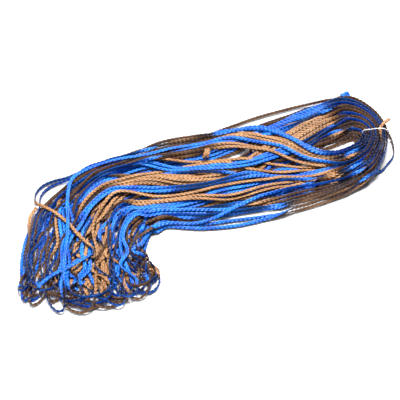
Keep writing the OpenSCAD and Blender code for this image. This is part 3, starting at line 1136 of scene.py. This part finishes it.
# %% The hitch in the middle
HITCH_SIZE = (0.7, 0.7, 0.9)
hitch_x, hitch_y = 18, 72
hitch_z = pile_top(hitch_x, hitch_y)
hitch_plan = [(-6, -9, -3), (-3, -7, 0.5), (2, -1, 1.6), (5, 6, 0.5), (6, 8.5, -2.5), (9, 7, -1),
              (7, 0, 1.5), (2, -8, 0.5), (0, -10, -3)]
hitch_points = np.array(hitch_plan) * HITCH_SIZE + [hitch_x, hitch_y, hitch_z]
hitch = short_cord("middle_hitch_cord", hitch_points, np.full(len(hitch_plan), 180.0))
print("hitch at height", round(hitch_z, 1), "mm")

# %% [markdown]
# ## The thread's finish
# The tie is a white thread, most likely cotton. Cotton is matt, so the finish is rough, and fine noise stands
# for its fibres, both in the colour and as a small bump.

# %% Thread finish
def thread_finish():
    """White cotton: matt, with fine fibres."""
    material, tree, shader = painted("white_thread", 0.75, 0.3)
    where = tree.nodes.new("ShaderNodeTexCoord").outputs["Object"]
    fibre = wire(tree, "ShaderNodeTexNoise", {}, Vector=where, Scale=2500.0, Detail=3.0).outputs["Fac"]
    colour = ramp(tree, fibre, [(0.3, (0.72, 0.72, 0.74)), (0.7, (0.93, 0.93, 0.94))])
    tree.links.new(colour, shader.inputs["Base Color"])
    bump = wire(tree, "ShaderNodeBump", {}, Strength=0.3, Distance=0.0002, Height=fibre).outputs["Normal"]
    tree.links.new(bump, shader.inputs["Normal"])
    return material


thread_material = thread_finish()
print("finish:", thread_material.name)

# %% [markdown]
# ## The thread's two plies
# Sewing thread is two plies twisted together. Each ply is a thin tube that winds round the thread's middle
# line. A bevelled curve draws such a tube with few points, and its mesh is kept in the end.

# %% Two plies along a line
PLY_R = 0.34
PLY_TWIST = 3.2


def twisted(name, points):
    """Two plies twisted round each other along a line, as one mesh."""
    points = np.asarray(points, float)
    far = np.r_[0, np.cumsum(np.linalg.norm(np.diff(points, axis=0), axis=1))]
    fine = np.arange(0, far[-1], 0.4)
    middle = np.stack([softened(np.interp(fine, far, points[:, k]), 2) for k in range(3)], axis=1)
    _, up, out = cord_frame(middle, np.zeros(len(middle)))
    curve = bpy.data.curves.new(name, "CURVE")
    curve.dimensions = "3D"
    curve.bevel_depth = PLY_R * MM
    curve.bevel_resolution = 2
    curve.use_fill_caps = True
    curve.materials.append(thread_material)
    for half in (0, math.pi):
        phase = 2 * math.pi * fine / PLY_TWIST + half
        ply = middle + PLY_R * 0.9 * (up * np.cos(phase)[:, None] + out * np.sin(phase)[:, None])
        spline = curve.splines.new("POLY")
        spline.points.add(len(ply) - 1)
        spline.points.foreach_set("co", np.c_[ply * MM, np.ones(len(ply))].ravel())
    drawn = bpy.data.objects.new(name + "_line", curve)
    bpy.context.scene.collection.objects.link(drawn)
    mesh = bpy.data.meshes.new_from_object(drawn.evaluated_get(bpy.context.evaluated_depsgraph_get()))
    bpy.data.objects.remove(drawn)
    piece = bpy.data.objects.new(name, mesh)
    bpy.context.scene.collection.objects.link(piece)
    return piece


print("a ply turns once in", PLY_TWIST, "mm")

# %% [markdown]
# ## The tie
# The thread is bound once round the wall of the bend: up through the open eye, over the wall, down outside
# and back under it. Over the top it is taut, so a height between two others is never lower than their mean.
# It is knotted outside, and its two short tails stick out past the cord.

# %% The loop round the wall
LEAST_TOP = 19.5
HALF_THREAD = 0.6
PULLS = 60
tie_in, tie_out = np.array([212.0, 40.0]), np.array([242.5, 28.0])
crown = [tie_in * (1 - u) + tie_out * u for u in np.linspace(0, 1, 12)]
taut = np.array([max(pile_top(x, y, 1), LEAST_TOP) + HALF_THREAD for x, y in crown])
for _ in range(PULLS):
    taut[1:-1] = np.maximum(taut[1:-1], (taut[:-2] + taut[2:]) / 2)
over = [[x, y, h] for (x, y), h in zip(crown, taut)]
side_in = [[*(tie_in + [-1.5, 0.5]), h] for h in (0.8, 6, 12, 17)]
side_out = [[*(tie_out + [1.5, -0.5]), h] for h in (17, 12, 6, 0.8)]
under = [[*(tie_out * (1 - u) + tie_in * u), 0.7] for u in np.linspace(0.05, 0.95, 8)]
tie = twisted("tie_thread_loop", side_in + over + side_out + under)
print("the thread crosses at heights", [round(p[2], 1) for p in over])

# %% [markdown]
# ## The tie's knot and tails
# The knot is two turns of the thread round a point on the wall's outer side, and one tail goes on from it.
# The other tail is a short thread of its own that starts in the knot.

# %% The tie's knot and tails
knot_at = np.array(over[-2]) + [0, 0, 0.4]
turn_round = np.linspace(0, 4 * math.pi, 24)
wrap = np.stack([1.1 * np.cos(turn_round), 1.1 * np.sin(turn_round), 0.12 * turn_round], axis=1) + knot_at
tails_out = [knot_at + np.array(v) for v in ((2, -2, 0.5), (4.5, -4.5, -0.5), (5.5, -8, -3))]
tie_knot = twisted("tie_knot_thread", np.vstack([wrap, tails_out]))
other_tail = twisted("tie_tail_thread", [knot_at, knot_at + [2.5, 0.4, 0.8], knot_at + [6, 0.2, -0.8]])
for piece in (tie, tie_knot, other_tail):
    print(piece.name, len(piece.data.polygons), "faces")

# %% [markdown]
# ## The light
# One broad soft light comes from overhead and behind, and a weaker lamp from the left. The room is bright
# along its walls, so the table looks white from the side, and dark above, so the gaps between the strands
# stay dark.

# %% Lamps and room
def lamp(kind, name, energy, at):
    """A lamp that looks at the hank."""
    light = bpy.data.lights.new(name, kind)
    light.energy = energy
    holder = bpy.data.objects.new(name, light)
    holder.location = at
    holder.rotation_euler = Vector(at).to_track_quat("Z", "Y").to_euler()
    bpy.context.scene.collection.objects.link(holder)
    return light


lamp("SUN", "overhead", 10.5, (0.25, 0.55, 1.4)).angle = math.radians(28)
lamp("AREA", "left", 10, (-1.1, -0.3, 0.9)).size = 0.6
world = bpy.data.worlds.new("room")
world.use_nodes = True
room = world.node_tree
way = room.nodes.new("ShaderNodeTexCoord").outputs["Generated"]
up = wire(room, "ShaderNodeSeparateXYZ", i0=way).outputs["Z"]
wall = ramp(room, up, [(0.10, (0.97, 0.97, 0.98)), (0.20, (0.06, 0.06, 0.07))])
room.links.new(wall, room.nodes["Background"].inputs["Color"])
bpy.context.scene.world = world

# %% [markdown]
# ## The table
# The hank lies on a pale, matt table top. It is a single square just under the lowest strands, far wider
# than the view, so no edge of it shows. It is staged, which means that it isn't a piece of the object.

# %% The table
HALF_TABLE = 3
TABLE_Z = -0.0004
corners = [(x * HALF_TABLE, y * HALF_TABLE, TABLE_Z) for x, y in ((-1, -1), (1, -1), (1, 1), (-1, 1))]
floor_mesh = bpy.data.meshes.new("table_top")
floor_mesh.from_pydata(corners, [], [(0, 1, 2, 3)])
table_top = bpy.data.objects.new("table_top", floor_mesh)
bpy.context.scene.collection.objects.link(table_top)
pale, _, pale_shader = painted("pale_table", 0.85, 0.0)
pale_shader.inputs["Base Color"].default_value = (0.50, 0.50, 0.51, 1)
floor_mesh.materials.append(pale)
bpy.context.scene.view_settings.view_transform = "Standard"
print("table top at", TABLE_Z, "m, finish:", pale.name)

# %% [markdown]
# ## The pieces on one body
# Every piece rides on the part's one body and gets the look of its finish. A table lists which solids of
# the frame each piece stands for, and these solids are hidden: the first strip stands for all the bundles,
# because one cord runs through all of them.

# %% Bodies and solids
stands_for = {back_knot: ["back_knot"], hitch: ["middle_hitch"], tie: ["tie"], tie_knot: ["tie_knot"]}
named = [node for nodes in stands_for.values() for node in nodes]
stands_for[strips[0]] = [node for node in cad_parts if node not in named]
for piece in strips + [back_knot, hitch, tie, tie_knot, other_tail]:
    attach(piece, "root")
for piece, nodes in stands_for.items():
    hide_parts(*nodes)
print("pieces handed over:", len(stands_for) + 3)
